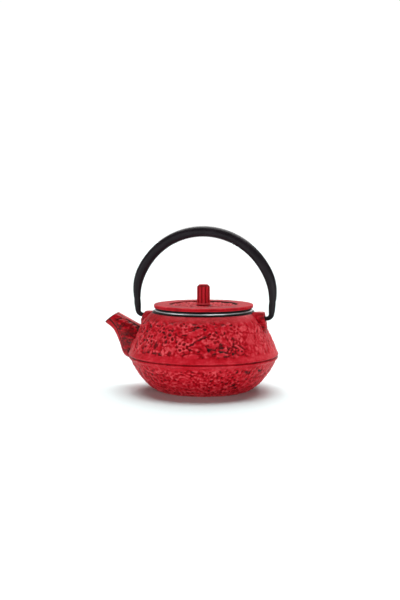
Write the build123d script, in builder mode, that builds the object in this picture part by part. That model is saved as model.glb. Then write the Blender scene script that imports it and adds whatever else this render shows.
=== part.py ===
from build123d import *

import os
from math import asin, cos, degrees, hypot, radians, sin

# A small cast iron teapot: a squashed double-cone pot with a stub spout, a flat lid with a fluted
# knob, a lift-out steel infuser and a bail handle hooked into two lugs.
# Millimetres. The origin is the centre of the flat base, +Z is up and the spout points to -X.

# ---- pot shell -------------------------------------------------------------------------------
# outside profile as (radius, z), from the base up
BASE_R = 45.0                # flat the pot stands on
BOTTOM_VIA = (53.6, 6.0)     # halfway up the shallow bottom
BOWL_MID = (60.2, 13.0)      # where the shallow bottom turns into the steeper bowl
BOWL_TOP = (70.2, 30.2)      # bowl meets the bead
BEAD = (71.8, 31.7)
GROOVE = (70.9, 33.2)
RIB_EDGE = (72.2, 34.8)
CONE_BOTTOM = (71.7, 35.7)
CONE_TOP = (60.2, 61.0)      # straight cone ends, shoulder begins
SHOULDER_END = (49.4, 74.4)
LIP_R = 48.9                 # black lip standing round the mouth
MOUTH_Z = 75.6
MOUTH_R = 45.2
# inside profile, 3.3 to 4.6 mm in from the outside
FLOOR_Z = 3.6
FLOOR_R = 41.0
INNER_BOTTOM_VIA = (50.4, 9.4)
INNER_BOWL_MID = (56.6, 15.6)
INNER_BOWL_TOP = (67.2, 32.4)
INNER_CONE_BOTTOM = (67.8, 35.0)
INNER_CONE_TOP = (56.9, 59.6)
INNER_SHOULDER_END = (45.2, 71.6)

# ---- spout: where each cross-section's top and bottom lie in the XZ plane, and its width --------
SPOUT_SECTIONS = [
    ((-48.0, 52.0), (-64.0, 23.5), 29.0),
    ((-61.0, 58.2), (-80.3, 29.0), 25.0),
    ((-71.0, 63.2), (-86.2, 42.1), 20.0),
    ((-80.0, 67.7), (-92.3, 54.0), 16.5),
    ((-88.0, 71.7), (-101.6, 61.4), 14.5),
]
SPOUT_WALL = 2.8

# ---- handle lugs -----------------------------------------------------------------------------
FRONT_LUG_TOP = (59.3, 73.9)  # the lug over the spout is a little smaller than the rear one
REAR_LUG_TOP = (60.0, 76.0)
LUG_FACE_MID = (61.1, 70.0)
LUG_FOOT = (62.8, 55.2)  # where the outer face runs out into the cone
LUG_STEP_X = 50.4        # the top slopes down into the shoulder from here
LUG_BACK_X = 46.2        # buried in the pot's wall
LUG_BACK_Z = 73.8
LUG_HALF_WIDTH = 4.2
LUG_EDGE = 1.0           # rounding of the lug's outer corners
PIVOT_Z = 70.0
PIN_R = 2.0
PIN_PLAY = 0.4           # radial play of the hook's pin in its hole
PIN_END_X = 55.2
PIN_HOLE_END_X = 54.6    # blind end

# ---- infuser ---------------------------------------------------------------------------------
SEAT_GAP = 0.1           # between stacked loose pieces
SHEET = 0.5              # pressed steel sheet
CURL_R = 0.8
CURL_CENTRE_R = 46.2
BAND_R = 44.4            # outer radius of the infuser's steel band
BAND_BEND_R = 1.0        # outer radius where the band turns out into the rim
BAND_BOTTOM_Z = 66.0
MESH_TOP_Z = 70.0
MESH_T = 0.4
BASKET_BOTTOM_Z = 34.5
BASE_RING_H = 4.0
BASE_RING_INNER_R = 41.5

# ---- lid -------------------------------------------------------------------------------------
LID_R = 47.6
LID_CHAMFER = 1.8
LID_TOP_Z = 82.2
LID_EDGE_ROUND = 0.7
SKIRT_OUTER_R = 43.0
SKIRT_INNER_R = 40.0
SKIRT_DRAFT = 0.4        # how much wider the skirt's inside is at its bottom edge
SKIRT_BOTTOM_Z = 72.0
LID_UNDER_Z = 78.6
RECESS_R = 32.0
RECESS_STEP = 1.0        # width of the step down into the recess
RECESS_Z = 80.6
LID_CENTRE_Z = 80.8
KNOB_PAD_R = 7.2         # small flat under the knob

# ---- knob ------------------------------------------------------------------------------------
KNOB_R = 6.05
KNOB_TOP_Z = 101.0
KNOB_LOBES = 10
KNOB_FLUTE_R = 0.9
KNOB_FLUTE_CENTRE_R = 6.25
KNOB_TOP_BEVEL = 2.2
KNOB_FOOT_R = 6.35
KNOB_FOOT_H = 2.8
KNOB_FOOT_TAPER = 4.0    # degrees
SPIGOT_R = 2.0
WASHER_R = 5.0
WASHER_T = 1.0
RIVET_R = 3.2
RIVET_H = 1.4
RIVET_TAPER = 30.0       # degrees

# ---- bail handle -----------------------------------------------------------------------------
ARCH_R = 70.5            # centre line of the bail's top
ARCH_CENTRE_Z = 81.2
SHOULDER_R = 49.0        # centre line where the top turns down into a leg
SHOULDER_ANGLE = 27.5    # degrees the shoulder turns through
LEG_R = 60.0             # the legs lean in a little towards their ends
GRIP_END_Z = 87.0        # rolled tube ends, solid hook begins
GRIP_TOP_D, GRIP_SHOULDER_D, GRIP_LEG_D, GRIP_END_D = 10.0, 9.1, 7.4, 6.8
GRIP_WALL = 0.9
SEAM = 0.8               # open seam along the inside of the rolled tube
HOOK_TOP_D, HOOK_MID_D = 6.1, 5.5
HOOK_MID_PLACE, HOOK_PIN_PLACE = 0.45, 0.75   # shares of the hook's length
HOOK_LEAN = 1.16         # how far the hook runs in before its bend
TANG_D = 4.9             # part of the hook pushed up into the tube
TANG_LENGTH = 11.0
HOOK_BEND_R = 4.9
PIN_CHAMFER = 0.5


def section_plane(top, bottom):
    """Plane through top and bottom, square to XZ, with its x axis along the section."""
    length = hypot(top[0] - bottom[0], top[1] - bottom[1])
    along = ((top[0] - bottom[0]) / length, (top[1] - bottom[1]) / length)
    centre = ((top[0] + bottom[0]) / 2, (top[1] + bottom[1]) / 2)
    plane = Plane(
        origin=(centre[0], 0, centre[1]),
        x_dir=(along[0], 0, along[1]),
        z_dir=(-along[1], 0, along[0]),
    )
    return plane, length


def loft_spout(inset):
    """Loft the spout's ellipses, each made smaller all round by inset."""
    with BuildPart() as shape:
        for top, bottom, width in SPOUT_SECTIONS:
            plane, length = section_plane(top, bottom)
            with BuildSketch(plane):
                Ellipse(length / 2 - inset, width / 2 - inset)
        loft()
    return shape.part


# ---- pot body --------------------------------------------------------------------------------
spout_outside = loft_spout(0)
spout_channel = loft_spout(SPOUT_WALL)


def lug_block(top):
    """Solid block for the +X lug, its back buried in the pot's shoulder."""
    corners = [top, (LUG_STEP_X, top[1]), (LUG_BACK_X, LUG_BACK_Z), (LUG_BACK_X, LUG_FOOT[1]), LUG_FOOT]
    with BuildPart() as block:
        with BuildSketch(Plane.XZ):
            with BuildLine():
                ThreePointArc(LUG_FOOT, LUG_FACE_MID, top)
                Polyline(*corners)
            make_face()
        extrude(amount=LUG_HALF_WIDTH, both=True)
        outer_face = block.faces().sort_by(Axis.X)[-1]
        fillet(outer_face.edges().sort_by(Axis.Z)[1:], LUG_EDGE)
    return block.part


rear_lug = lug_block(REAR_LUG_TOP)
front_lug = lug_block(FRONT_LUG_TOP).mirror(Plane.YZ)
pin_hole = Pos(PIN_HOLE_END_X, 0, PIVOT_Z) * Rot(0, 90, 0) * Cylinder(
    PIN_R + PIN_PLAY, LUG_FOOT[0] - PIN_HOLE_END_X, align=(Align.CENTER, Align.CENTER, Align.MIN)
)

with BuildPart() as pot_body:
    with BuildSketch(Plane.XZ):
        with BuildLine():
            Line((0, 0), (BASE_R, 0))
            bottom_curve = ThreePointArc((BASE_R, 0), BOTTOM_VIA, BOWL_MID)
            TangentArc(BOWL_MID, BOWL_TOP, tangent=bottom_curve % 1)
            ThreePointArc(BOWL_TOP, BEAD, GROOVE)
            Polyline(GROOVE, RIB_EDGE, CONE_BOTTOM)
            cone = Line(CONE_BOTTOM, CONE_TOP)
            TangentArc(CONE_TOP, SHOULDER_END, tangent=cone % 1)
            Polyline(SHOULDER_END, (LIP_R, SHOULDER_END[1]), (LIP_R, MOUTH_Z), (0, MOUTH_Z), (0, 0))
        make_face()
    revolve(axis=Axis.Z)
    add(rear_lug)
    add(front_lug)
    add(spout_outside)
    with BuildSketch(Plane.XZ):
        with BuildLine():
            Line((0, FLOOR_Z), (FLOOR_R, FLOOR_Z))
            floor_curve = ThreePointArc((FLOOR_R, FLOOR_Z), INNER_BOTTOM_VIA, INNER_BOWL_MID)
            TangentArc(INNER_BOWL_MID, INNER_BOWL_TOP, tangent=floor_curve % 1)
            Line(INNER_BOWL_TOP, INNER_CONE_BOTTOM)
            inner_cone = Line(INNER_CONE_BOTTOM, INNER_CONE_TOP)
            TangentArc(INNER_CONE_TOP, INNER_SHOULDER_END, tangent=inner_cone % 1)
            Polyline(INNER_SHOULDER_END, (MOUTH_R, MOUTH_Z), (0, MOUTH_Z), (0, FLOOR_Z))
        make_face()
    revolve(axis=Axis.Z, mode=Mode.SUBTRACT)
    add(spout_channel, mode=Mode.SUBTRACT)
    add(pin_hole, mode=Mode.SUBTRACT)
    add(pin_hole.mirror(Plane.YZ), mode=Mode.SUBTRACT)

# ---- infuser: rim with band, mesh wall, mesh bottom and the crimped ring that holds both --------
curl_top_z = MOUTH_Z + SEAT_GAP + 2 * CURL_R
curl_z = curl_top_z - CURL_R
wall_outer_r = BAND_R - SHEET

with BuildPart() as infuser_rim:
    with BuildSketch(Plane.XZ):
        with BuildLine():
            inner_bend = (wall_outer_r + BAND_BEND_R, curl_top_z - BAND_BEND_R)
            Line((wall_outer_r, BAND_BOTTOM_Z), (wall_outer_r, inner_bend[1]))
            CenterArc(inner_bend, BAND_BEND_R, 90, 90)
            Line((inner_bend[0], curl_top_z), (CURL_CENTRE_R, curl_top_z))
            CenterArc((CURL_CENTRE_R, curl_z), CURL_R, -90, 180)
            Line((CURL_CENTRE_R, curl_z - CURL_R), (CURL_CENTRE_R, curl_z - CURL_R + SHEET))
            CenterArc((CURL_CENTRE_R, curl_z), CURL_R - SHEET, -90, 180)
            Line((CURL_CENTRE_R, curl_top_z - SHEET), (inner_bend[0], curl_top_z - SHEET))
            CenterArc(inner_bend, BAND_BEND_R - SHEET, 90, 90)
            Polyline((BAND_R, inner_bend[1]), (BAND_R, BAND_BOTTOM_Z), (wall_outer_r, BAND_BOTTOM_Z))
        make_face()
    revolve(axis=Axis.Z)

mesh_floor_z = BASKET_BOTTOM_Z + SHEET

with BuildPart() as infuser_mesh_wall:
    with BuildSketch(Plane.XY.offset(mesh_floor_z + MESH_T)):
        Circle(wall_outer_r)
        Circle(wall_outer_r - MESH_T, mode=Mode.SUBTRACT)
    extrude(amount=MESH_TOP_Z - mesh_floor_z - MESH_T)

with BuildPart() as infuser_mesh_floor:
    with BuildSketch(Plane.XY.offset(mesh_floor_z)):
        Circle(wall_outer_r)
    extrude(amount=MESH_T)

with BuildPart() as infuser_base_ring:
    with BuildSketch(Plane.XZ):
        Polygon(
            (BASE_RING_INNER_R, BASKET_BOTTOM_Z),
            (BAND_R, BASKET_BOTTOM_Z),
            (BAND_R, BASKET_BOTTOM_Z + BASE_RING_H),
            (wall_outer_r, BASKET_BOTTOM_Z + BASE_RING_H),
            (wall_outer_r, mesh_floor_z),
            (BASE_RING_INNER_R, mesh_floor_z),
            align=None,
        )
    revolve(axis=Axis.Z)

# ---- lid with its locating skirt ---------------------------------------------------------------
seat_z = curl_top_z + SEAT_GAP

with BuildPart() as lid_plate:
    with BuildSketch(Plane.XZ):
        with BuildLine():
            Polyline(
                (SPIGOT_R, LID_UNDER_Z),
                (SKIRT_INNER_R, LID_UNDER_Z),
                (SKIRT_INNER_R + SKIRT_DRAFT, SKIRT_BOTTOM_Z),
                (SKIRT_OUTER_R, SKIRT_BOTTOM_Z),
                (SKIRT_OUTER_R, seat_z),
                (LID_R - LID_CHAMFER, seat_z),
                (LID_R, seat_z + LID_CHAMFER),
                (LID_R, LID_TOP_Z - LID_EDGE_ROUND),
            )
            CenterArc((LID_R - LID_EDGE_ROUND, LID_TOP_Z - LID_EDGE_ROUND), LID_EDGE_ROUND, 0, 90)
            Polyline(
                (LID_R - LID_EDGE_ROUND, LID_TOP_Z),
                (RECESS_R + RECESS_STEP, LID_TOP_Z),
                (RECESS_R, RECESS_Z),
                (KNOB_PAD_R, LID_CENTRE_Z),
                (SPIGOT_R, LID_CENTRE_Z),
                (SPIGOT_R, LID_UNDER_Z),
            )
        make_face()
    revolve(axis=Axis.Z)

# ---- knob: fluted bud, with a spigot through the lid, peened over a washer ----------------------
with BuildPart() as lid_knob:
    with BuildSketch(Plane.XY.offset(LID_CENTRE_Z)):
        Circle(KNOB_R)
        with PolarLocations(KNOB_FLUTE_CENTRE_R, KNOB_LOBES, start_angle=-90):
            Circle(KNOB_FLUTE_R, mode=Mode.SUBTRACT)
    extrude(amount=KNOB_TOP_Z - LID_CENTRE_Z)
    with BuildSketch(Plane.XZ):
        with BuildLine():
            Polyline(
                (KNOB_R - KNOB_TOP_BEVEL, KNOB_TOP_Z),
                (KNOB_R, KNOB_TOP_Z - KNOB_TOP_BEVEL),
                (KNOB_R + 1.0, KNOB_TOP_Z - KNOB_TOP_BEVEL),
                (KNOB_R + 1.0, KNOB_TOP_Z),
                (KNOB_R - KNOB_TOP_BEVEL, KNOB_TOP_Z),
            )
        make_face()
    revolve(axis=Axis.Z, mode=Mode.SUBTRACT)
    with BuildSketch(Plane.XY.offset(LID_CENTRE_Z)):
        Circle(KNOB_FOOT_R)
    extrude(amount=KNOB_FOOT_H, taper=KNOB_FOOT_TAPER)
    washer_bottom_z = LID_UNDER_Z - WASHER_T
    with BuildSketch(Plane.XY.offset(washer_bottom_z)):
        Circle(SPIGOT_R)
    extrude(amount=LID_CENTRE_Z - washer_bottom_z)
    with BuildSketch(Plane.XY.offset(washer_bottom_z)):
        Circle(RIVET_R)
    extrude(amount=-RIVET_H, taper=RIVET_TAPER)

with BuildPart() as knob_washer:
    with BuildSketch(Plane.XY.offset(washer_bottom_z)):
        Circle(WASHER_R)
        Circle(SPIGOT_R, mode=Mode.SUBTRACT)
    extrude(amount=WASHER_T)

# ---- bail handle: a rolled tube, thickest over the hand, with a hook pushed into each end -------
main_start = (ARCH_R * cos(radians(SHOULDER_ANGLE)), ARCH_CENTRE_Z + ARCH_R * sin(radians(SHOULDER_ANGLE)))
shoulder_centre = (
    main_start[0] - SHOULDER_R * cos(radians(SHOULDER_ANGLE)),
    main_start[1] - SHOULDER_R * sin(radians(SHOULDER_ANGLE)),
)
leg_top = (shoulder_centre[0] + SHOULDER_R, shoulder_centre[1])
leg_angle = degrees(asin((leg_top[1] - GRIP_END_Z) / LEG_R))
leg_centre = (leg_top[0] - LEG_R, leg_top[1])
leg_end = (leg_centre[0] + LEG_R * cos(radians(leg_angle)), GRIP_END_Z)


def mirrored(point):
    return (-point[0], point[1])


with BuildLine(Plane.XZ) as bail_line:
    CenterArc(leg_centre, LEG_R, -leg_angle, leg_angle)
    CenterArc(shoulder_centre, SHOULDER_R, 0, SHOULDER_ANGLE)
    CenterArc((0, ARCH_CENTRE_Z), ARCH_R, SHOULDER_ANGLE, 180 - 2 * SHOULDER_ANGLE)
    CenterArc(mirrored(shoulder_centre), SHOULDER_R, 180 - SHOULDER_ANGLE, SHOULDER_ANGLE)
    CenterArc(mirrored(leg_centre), LEG_R, 180, leg_angle)

bail_length = bail_line.wires()[0].length
leg_length = LEG_R * radians(leg_angle)
shoulder_length = SHOULDER_R * radians(SHOULDER_ANGLE)
# the grip's diameter at places along the bail, from one end to the middle
half_grip_sections = [
    (0.0, GRIP_END_D),
    (leg_length / bail_length, GRIP_LEG_D),
    ((leg_length + 0.5 * shoulder_length) / bail_length, GRIP_SHOULDER_D),
    ((leg_length + 1.2 * shoulder_length) / bail_length, GRIP_TOP_D),
]
grip_sections = (
    half_grip_sections
    + [(place, GRIP_TOP_D) for place in (0.31, 0.36, 0.41, 0.46, 0.54, 0.59, 0.64, 0.69)]
    + [(1 - place, diameter) for place, diameter in reversed(half_grip_sections)]
)


def sweep_grip(inset):
    """Sweep round sections of changing size along the bail, each made smaller by inset."""
    path = bail_line.wires()[0]
    with BuildPart() as shape:
        for place, diameter in grip_sections:
            with BuildSketch(Plane(path.position_at(place), z_dir=path.tangent_at(place), x_dir=(0, 1, 0))):
                Circle(diameter / 2 - inset)
        sweep(path=path, multisection=True)
    return shape.part


grip_outside = sweep_grip(0)
grip_bore = sweep_grip(GRIP_WALL)

with BuildPart() as handle_grip:
    add(grip_outside)
    add(grip_bore, mode=Mode.SUBTRACT)
    with BuildSketch(Plane.XZ):
        with BuildLine():
            add(bail_line.line)
            Line(bail_line.wires()[0] @ 0, bail_line.wires()[0] @ 1)
        make_face()
    extrude(amount=SEAM / 2, both=True, mode=Mode.SUBTRACT)

hook_corner_x = leg_end[0] - HOOK_LEAN
hook_sections = [
    (0.0, HOOK_TOP_D),
    (HOOK_MID_PLACE, HOOK_MID_D),
    (HOOK_PIN_PLACE, 2 * PIN_R),
    (1.0, 2 * PIN_R),
]
with BuildLine(Plane.XZ) as hook_line:
    FilletPolyline(leg_end, (hook_corner_x, PIVOT_Z), (PIN_END_X, PIVOT_Z), radius=HOOK_BEND_R)

with BuildLine(Plane.XZ) as tang_line:
    CenterArc(leg_centre, LEG_R, -leg_angle, degrees(TANG_LENGTH / LEG_R))

with BuildPart() as handle_hook_rear:
    hook_path = hook_line.wires()[0]
    for place, diameter in hook_sections:
        with BuildSketch(Plane(hook_path @ place, z_dir=hook_path % place, x_dir=(0, 1, 0))):
            Circle(diameter / 2)
    sweep(path=hook_path, multisection=True)
    chamfer(handle_hook_rear.faces().sort_by(Axis.X)[0].edges(), PIN_CHAMFER)
    tang_path = tang_line.wires()[0]
    with BuildSketch(Plane(tang_path @ 0, z_dir=tang_path % 0, x_dir=(0, 1, 0))):
        Circle(TANG_D / 2)
    sweep(path=tang_path)

with BuildPart() as handle_hook_front:
    add(handle_hook_rear.part.mirror(Plane.YZ))

# ---- write every piece -------------------------------------------------------------------------
PIECES = {
    "pot_body": pot_body,
    "infuser_rim": infuser_rim,
    "infuser_mesh_wall": infuser_mesh_wall,
    "infuser_mesh_floor": infuser_mesh_floor,
    "infuser_base_ring": infuser_base_ring,
    "lid_plate": lid_plate,
    "lid_knob": lid_knob,
    "knob_washer": knob_washer,
    "handle_grip": handle_grip,
    "handle_hook_front": handle_hook_front,
    "handle_hook_rear": handle_hook_rear,
}

os.makedirs("parts", exist_ok=True)
for name, piece in PIECES.items():
    piece.part.label = name
    export_step(piece.part, f"parts/{name}.step")
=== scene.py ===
"""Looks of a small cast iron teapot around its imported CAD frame.

Metres, +Z up, the spout points to -X. Shapes are worked out in millimetres and scaled when a mesh is made.
"""
import itertools
import math

import bpy
import numpy as np
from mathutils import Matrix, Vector


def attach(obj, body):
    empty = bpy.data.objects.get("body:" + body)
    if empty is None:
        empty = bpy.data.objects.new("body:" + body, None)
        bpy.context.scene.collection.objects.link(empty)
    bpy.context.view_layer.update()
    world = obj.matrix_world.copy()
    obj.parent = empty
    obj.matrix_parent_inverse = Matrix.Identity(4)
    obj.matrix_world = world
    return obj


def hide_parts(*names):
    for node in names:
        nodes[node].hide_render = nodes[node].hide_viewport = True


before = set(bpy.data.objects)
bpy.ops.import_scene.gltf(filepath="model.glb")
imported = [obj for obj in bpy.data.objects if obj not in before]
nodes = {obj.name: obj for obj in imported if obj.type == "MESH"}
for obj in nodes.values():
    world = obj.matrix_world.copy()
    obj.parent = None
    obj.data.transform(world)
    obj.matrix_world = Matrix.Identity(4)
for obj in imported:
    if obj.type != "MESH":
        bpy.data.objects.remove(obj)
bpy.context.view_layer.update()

MM = 0.001
FRONT = math.radians(-73.0)  # the side of the pot that the camera faces

# pot profile (radius, z), the same shape as the CAD casting
BASE_R = 45.0
BOTTOM_VIA = (53.6, 6.0)
BOWL_MID = (60.2, 13.0)
BOWL_TOP = (70.2, 30.2)
BEAD = (71.8, 31.7)
GROOVE = (70.9, 33.2)
RIB_EDGE = (72.2, 34.8)
CONE_BOTTOM = (71.7, 35.7)
CONE_TOP = (60.2, 61.0)
SHOULDER_END = (49.4, 74.4)
LIP_R = 48.9
MOUTH_Z = 75.6
MOUTH_R = 45.2
PIVOT_Z = 70.0
SPOUT_SECTIONS = [
    ((-48.0, 52.0), (-64.0, 23.5), 29.0),
    ((-61.0, 58.2), (-80.3, 29.0), 25.0),
    ((-71.0, 63.2), (-86.2, 42.1), 20.0),
    ((-80.0, 67.7), (-92.3, 54.0), 16.5),
    ((-88.0, 71.7), (-101.6, 61.4), 14.5),
]
SPOUT_WALL = 2.8


# ---- numbers ----
def smooth(low, high, x):
    """From 0 at low to 1 at high."""
    t = np.clip((x - low) / (high - low), 0.0, 1.0)
    return t * t * (3.0 - 2.0 * t)


def fall(low, high, x):
    """From 1 at low to 0 at high."""
    return 1.0 - smooth(low, high, x)


def hashed(cell, seed):
    """A repeatable random number from 0 to 1 for each whole-number cell."""
    c = cell.astype(np.int64)
    n = c[..., 0] * 374761393 + c[..., 1] * 668265263 + c[..., 2] * 1442695041 + seed * 1013904223
    n = (n ^ (n >> 13)) & 0xFFFFFFFF
    n = (n * 1274126177) & 0xFFFFFFFF
    n = n ^ (n >> 16)
    n = (n * 2246822519) & 0xFFFFFFFF
    n = n ^ (n >> 13)
    return (n & 0xFFFFFF) / 0xFFFFFF


def noise(p, scale, seed):
    """Smooth noise from -1 to 1 with lumps about scale across."""
    q = p / scale
    base = np.floor(q)
    f = q - base
    f = f * f * (3.0 - 2.0 * f)
    total = np.zeros(p.shape[:-1])
    for corner in itertools.product((0, 1), repeat=3):
        c = np.array(corner)
        total += np.prod(np.where(c == 1, f, 1.0 - f), axis=-1) * hashed(base + c, seed)
    return 2.0 * total - 1.0


def warped(p, scale, reach, seed):
    return p + reach * np.stack([noise(p, scale, seed + i) for i in range(3)], axis=-1)


# ---- profiles ----
def circle_through(a, b, c):
    (ax, ay), (bx, by), (cx, cy) = a, b, c
    d = 2.0 * (ax * (by - cy) + bx * (cy - ay) + cx * (ay - by))
    ux = ((ax**2 + ay**2) * (by - cy) + (bx**2 + by**2) * (cy - ay) + (cx**2 + cy**2) * (ay - by)) / d
    uy = ((ax**2 + ay**2) * (cx - bx) + (bx**2 + by**2) * (ax - cx) + (cx**2 + cy**2) * (bx - ax)) / d
    return np.array((ux, uy))


def arc(centre, start, end, step, turn):
    """Points after start up to end round centre. turn is +1 anticlockwise in (radius, z)."""
    a0 = math.atan2(start[1] - centre[1], start[0] - centre[0])
    a1 = math.atan2(end[1] - centre[1], end[0] - centre[0])
    sweep = (a1 - a0) * turn % (2.0 * math.pi) * turn
    radius = math.hypot(start[0] - centre[0], start[1] - centre[1])
    count = max(1, round(abs(sweep) * radius / step))
    angles = a0 + sweep * np.arange(1, count + 1) / count
    return [(centre[0] + radius * math.cos(a), centre[1] + radius * math.sin(a)) for a in angles]


def arc_via(start, via, end, step):
    centre = circle_through(start, via, end)
    cross = (via[0] - start[0]) * (end[1] - via[1]) - (via[1] - start[1]) * (end[0] - via[0])
    return arc(centre, start, end, step, math.copysign(1.0, cross))


def arc_along(start, tangent, end, step):
    """Arc from start to end that leaves start along tangent."""
    t = np.array(tangent) / np.linalg.norm(tangent)
    normal = np.array((-t[1], t[0]))
    chord = np.array(end) - np.array(start)
    radius = chord @ chord / (2.0 * (chord @ normal))
    return arc(np.array(start) + radius * normal, start, end, step, math.copysign(1.0, radius))


def line(start, end, step):
    length = math.dist(start, end)
    count = max(1, round(length / step))
    return [
        (start[0] + (end[0] - start[0]) * i / count, start[1] + (end[1] - start[1]) * i / count)
        for i in range(1, count + 1)
    ]


def end_tangent(points):
    return (points[-1][0] - points[-2][0], points[-1][1] - points[-2][1])


def profile_normals(rows):
    step = np.gradient(rows, axis=0)
    step /= np.linalg.norm(step, axis=1, keepdims=True)
    return np.stack((step[:, 1], -step[:, 0]), axis=1)


# ---- meshes ----
def grid_faces(rows, columns, start=0):
    """Quads of a grid that closes round its columns."""
    i, j = np.meshgrid(np.arange(rows - 1), np.arange(columns), indexing="ij")
    k = (j + 1) % columns
    below, above = i * columns, (i + 1) * columns
    quads = np.stack((below + j, below + k, above + k, above + j), axis=-1)
    return (quads.reshape(-1, 4) + start).tolist()


def capped_grid(points):
    """Vertices and faces of rings of points (rows, columns, 3), with a centre vertex closing each end."""
    rows, columns = points.shape[:2]
    vertices = points.reshape(-1, 3).tolist()
    vertices += [points[0].mean(axis=0).tolist(), points[-1].mean(axis=0).tolist()]
    faces = grid_faces(rows, columns)
    first, last = rows * columns, rows * columns + 1
    for j in range(columns):
        k = (j + 1) % columns
        faces.append((first, k, j))
        faces.append((last, (rows - 1) * columns + j, (rows - 1) * columns + k))
    return vertices, faces


def even_turns(columns):
    return 2.0 * math.pi * np.arange(columns) / columns


def revolved(rows, columns, offset=None):
    """Rings round Z for each (radius, z), moved out along the profile's normal by offset."""
    rows = np.array(rows, float)
    turn = even_turns(columns)
    radius = np.repeat(rows[:, :1], columns, axis=1)
    height = np.repeat(rows[:, 1:], columns, axis=1)
    if offset is not None:
        normals = profile_normals(rows)
        radius = radius + normals[:, :1] * offset
        height = height + normals[:, 1:] * offset
    return np.stack((radius * np.cos(turn), radius * np.sin(turn), height), axis=-1)


def placed(name, data):
    """A new object in the scene."""
    obj = bpy.data.objects.new(name, data)
    bpy.context.scene.collection.objects.link(obj)
    return obj


def make(name, vertices, faces, *materials):
    """A smooth mesh object from points in millimetres."""
    mesh = bpy.data.meshes.new(name)
    mesh.from_pydata((np.array(vertices) * MM).tolist(), [], faces)
    mesh.polygons.foreach_set("use_smooth", [True] * len(mesh.polygons))
    for material in materials:
        mesh.materials.append(material)
    return placed(name, mesh)


def set_attribute(obj, name, values):
    layer = obj.data.attributes.new(name, "FLOAT", "POINT")
    layer.data.foreach_set("value", np.ascontiguousarray(values, np.float32))


def boolean(obj, operation, others):
    """Join or cut obj with other closed objects, which are then removed."""
    for other in others:
        modifier = obj.modifiers.new(operation, "BOOLEAN")
        modifier.operation = operation
        modifier.solver = "MANIFOLD"
        modifier.object = other
    graph = bpy.context.evaluated_depsgraph_get()
    mesh = bpy.data.meshes.new_from_object(obj.evaluated_get(graph), depsgraph=graph)
    obj.modifiers.clear()
    obj.data = mesh
    for other in others:
        bpy.data.objects.remove(other)


# ---- materials ----
class Nodes:
    """Short names for building one material's node tree."""

    def __init__(self, name):
        self.material = bpy.data.materials.new(name)
        self.material.use_nodes = True
        self.tree = self.material.node_tree
        self.shader = self.tree.nodes["Principled BSDF"]

    def add(self, kind, inputs=None, **settings):
        node = self.tree.nodes.new("ShaderNode" + kind)
        for key, value in settings.items():
            setattr(node, key, value)
        for key, value in (inputs or {}).items():
            self.link(value, node.inputs[key])
        return node

    def link(self, value, socket):
        if isinstance(value, bpy.types.NodeSocket):
            self.tree.links.new(value, socket)
        else:
            socket.default_value = value

    def math(self, operation, a, b):
        return self.add("Math", {0: a, 1: b}, operation=operation).outputs[0]

    def ramp(self, factor, stops):
        node = self.add("ValToRGB", {"Fac": factor})
        ramp = node.color_ramp
        while len(ramp.elements) < len(stops):
            ramp.elements.new(0.5)
        for element, (place, color) in zip(ramp.elements, stops):
            element.position = place
            element.color = (*color, 1.0)
        return node.outputs["Color"]

    def noise(self, scale, detail, vector=None):
        node = self.add("TexNoise", {"Scale": scale, "Detail": detail})
        self.link(vector or self.place(), node.inputs["Vector"])
        return node.outputs["Fac"]

    def place(self):
        return self.add("TexCoord").outputs["Object"]

    def bump(self, height, distance, strength):
        node = self.add("Bump", {"Height": height, "Distance": distance, "Strength": strength})
        self.link(node.outputs["Normal"], self.shader.inputs["Normal"])

    def set(self, **values):
        for key, value in values.items():
            self.link(value, self.shader.inputs[key.replace("_", " ")])


def red_enamel(name, smoothest):
    """Satin red over textured iron. Attribute tone runs from 0 in black hollows to 1 on high spots, lighter
    from wear and a painted highlight.
    """
    n = Nodes(name)
    tone = n.add("Attribute", attribute_name="tone").outputs["Fac"]
    mottle = n.math("SUBTRACT", n.noise(380.0, 4.0), 0.5)
    level = n.math("ADD", tone, n.math("MULTIPLY", mottle, 0.22))
    red = n.ramp(
        level,
        [
            (0.00, (0.012, 0.005, 0.005)),
            (0.14, (0.060, 0.002, 0.003)),
            (0.30, (0.190, 0.000, 0.003)),
            (0.46, (0.370, 0.000, 0.006)),
            (0.62, (0.470, 0.011, 0.022)),
            (0.90, (0.640, 0.066, 0.078)),
        ],
    )
    n.set(Base_Color=red, Roughness=n.math("ADD", n.math("MULTIPLY", n.noise(160.0, 3.0), 0.20), smoothest))
    n.bump(n.math("ADD", n.noise(850.0, 5.0), n.math("MULTIPLY", n.noise(260.0, 2.0), 0.6)), 0.00030, 0.9)
    n.shader.inputs["Specular IOR Level"].default_value = 0.12
    return n.material


def black_enamel():
    n = Nodes("black_inner_enamel")
    shade = n.noise(300.0, 4.0)
    n.set(
        Base_Color=n.ramp(shade, [(0.3, (0.004, 0.004, 0.004)), (0.7, (0.010, 0.009, 0.009))]),
        Roughness=n.math("ADD", n.math("MULTIPLY", shade, 0.2), 0.32),
    )
    n.shader.inputs["Specular IOR Level"].default_value = 0.10
    n.bump(n.noise(700.0, 4.0), 0.00015, 0.7)
    return n.material


def black_coating():
    n = Nodes("black_satin_coating")
    wear = n.noise(60.0, 5.0)
    n.set(
        Base_Color=n.ramp(wear, [(0.35, (0.0055, 0.0035, 0.0050)), (0.72, (0.0130, 0.0085, 0.0120))]),
        Roughness=n.math("ADD", n.math("MULTIPLY", n.noise(220.0, 3.0), 0.16), 0.36),
    )
    n.shader.inputs["Specular IOR Level"].default_value = 0.12
    n.bump(n.math("ADD", n.noise(1500.0, 3.0), n.math("MULTIPLY", n.noise(120.0, 2.0), 0.8)), 0.00012, 0.6)
    return n.material


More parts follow.
